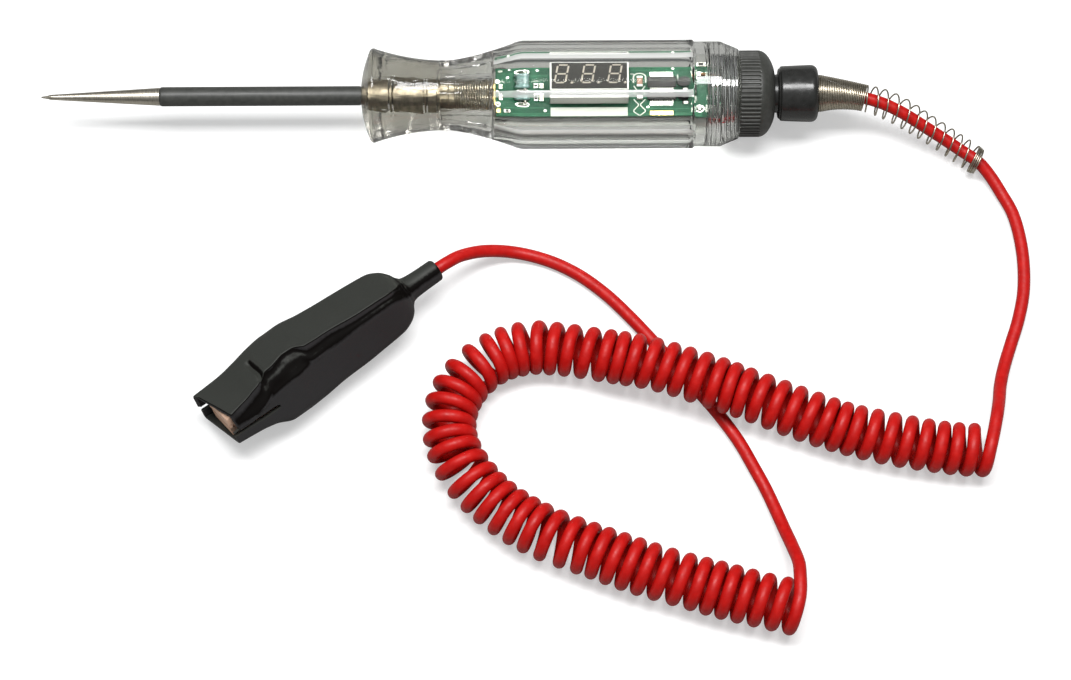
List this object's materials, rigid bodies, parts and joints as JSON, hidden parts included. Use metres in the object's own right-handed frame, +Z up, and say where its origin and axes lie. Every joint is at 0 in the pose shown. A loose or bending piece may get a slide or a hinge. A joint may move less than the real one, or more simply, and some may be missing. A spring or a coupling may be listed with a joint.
{
  "type": "digital circuit tester with curly lead",
  "caption": "Screwdriver-style circuit tester with a clear handle, a small digital display, a steel probe needle and a curly lead ending in a booted spring clip.",
  "frame": {"origin": "on the surface the tester lies on, below the middle of the tester's length, without its cord", "axes": "+X along the tester from the needle's point to the cord's exit, +Z up, +Y away from the cord's loops"},
  "size_m": [0.2835, 0.1755, 0.0303],
  "materials": {
    "ground_steel": "ground and polished steel",
    "black_sleeve": "satin black plastic tube",
    "nickel": "dull nickel plate",
    "spring_steel": "bare drawn spring wire",
    "brass": "stamped brass",
    "clear_plastic": "polished clear moulded plastic",
    "green_board": "green solder mask",
    "display_plastic": "white sides with a dark printed face",
    "segment_resin": "milky unlit segments",
    "tinned_metal": "tinned",
    "resistor_blue": "lacquered body",
    "ceramic_brown": "fired ceramic",
    "ceramic_white": "fired ceramic",
    "chip_black": "moulded epoxy",
    "copper": "copper plate",
    "black_cap": "satin moulded plastic",
    "black_bushing": "glossy moulded plastic",
    "red_cord": "glossy red jacket",
    "black_boot": "soft satin vinyl"
  },
  "bodies": {
    "root": {"probe_needle": "ground_steel", "probe_sleeve": "black_sleeve", "probe_ferrule": "nickel", "contact_stud": "nickel", "contact_spring": "spring_steel", "board_contact": "brass", "handle_body": "clear_plastic", "circuit_board": "green_board", "display_housing": "display_plastic", "display_segments": "segment_resin", "display_pins": "tinned_metal", "axial_resistor": "resistor_blue", "ceramic_capacitor": "ceramic_brown", "controller_chip": "chip_black", "chip_leads": "tinned_metal", "chip_resistors": "ceramic_white", "round_inductor": "chip_black", "solder_joints": "tinned_metal", "ground_wire": "copper", "cord_crimp": "tinned_metal", "end_cap": "black_cap", "cord_bushing": "black_bushing", "strain_relief_spring": "spring_steel", "cord_lead": "red_cord", "cord_coil": "red_cord", "cord_tail": "red_cord", "clip_boot": "black_boot", "clip_lower_jaw": "copper", "clip_pin": "nickel", "clip_spring": "spring_steel"},
    "clip_jaw": {"clip_upper_jaw": "copper"}
  },
  "joints": [
    {"name": "clip_hinge", "type": "hinge", "parent": "root", "child": "clip_jaw", "pos_m": [-0.0392, -0.0849, 0.0124], "axis": [-0.5301, 0.7061, -0.4695], "range_deg": [0, 16], "stiffness_Nm_per_rad": 0.02, "springref_deg": -17.19, "deforming": ["clip_boot", "clip_spring"]}
  ]
}
